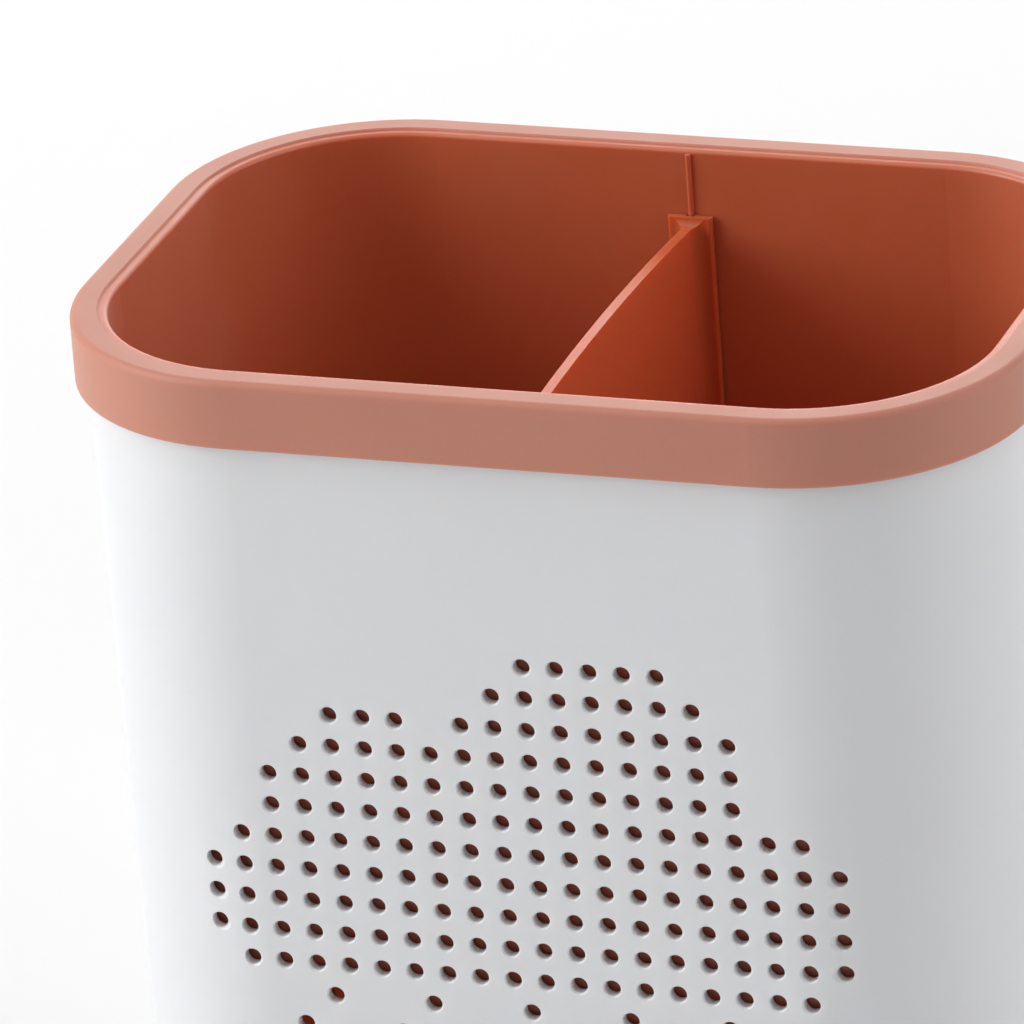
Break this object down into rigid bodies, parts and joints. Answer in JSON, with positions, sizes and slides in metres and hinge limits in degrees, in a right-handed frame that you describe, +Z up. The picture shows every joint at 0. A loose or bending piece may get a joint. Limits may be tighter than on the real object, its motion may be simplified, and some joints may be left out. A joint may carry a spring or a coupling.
{
  "type": "chopstick holder",
  "caption": "Open draining chopstick holder: perforated rounded-rectangular outer shell, hanging liner with a folded rim, sliding divider and drip tray.",
  "frame": {"origin": "centre of the footprint, on the surface that the foot pads stand on", "axes": "+Z up, +X to the right along the long side, +Y to the back, so the perforated front faces -Y"},
  "size_m": [0.143, 0.1, 0.15],
  "materials": {
    "shell_white": "satin moulded polypropylene",
    "liner_terracotta": "satin moulded polypropylene",
    "foot_pad": "matt soft rubber"
  },
  "bodies": {
    "tray": {"drip_tray": "shell_white", "foot_pad_front_left": "foot_pad", "foot_pad_front_right": "foot_pad", "foot_pad_back_left": "foot_pad", "foot_pad_back_right": "foot_pad"},
    "shell": {"outer_shell": "shell_white"},
    "liner": {"inner_liner": "liner_terracotta"},
    "divider": {"divider": "liner_terracotta"}
  },
  "joints": [
    {"name": "shell_lift", "type": "slide", "parent": "tray", "child": "shell", "axis": [0, 0, 1], "range_m": [0, 0.03]},
    {"name": "liner_lift", "type": "slide", "parent": "shell", "child": "liner", "axis": [0, 0, 1], "range_m": [0, 0.135]},
    {"name": "divider_slide", "type": "slide", "parent": "liner", "child": "divider", "axis": [0, 0, 1], "range_m": [0, 0.135]}
  ]
}
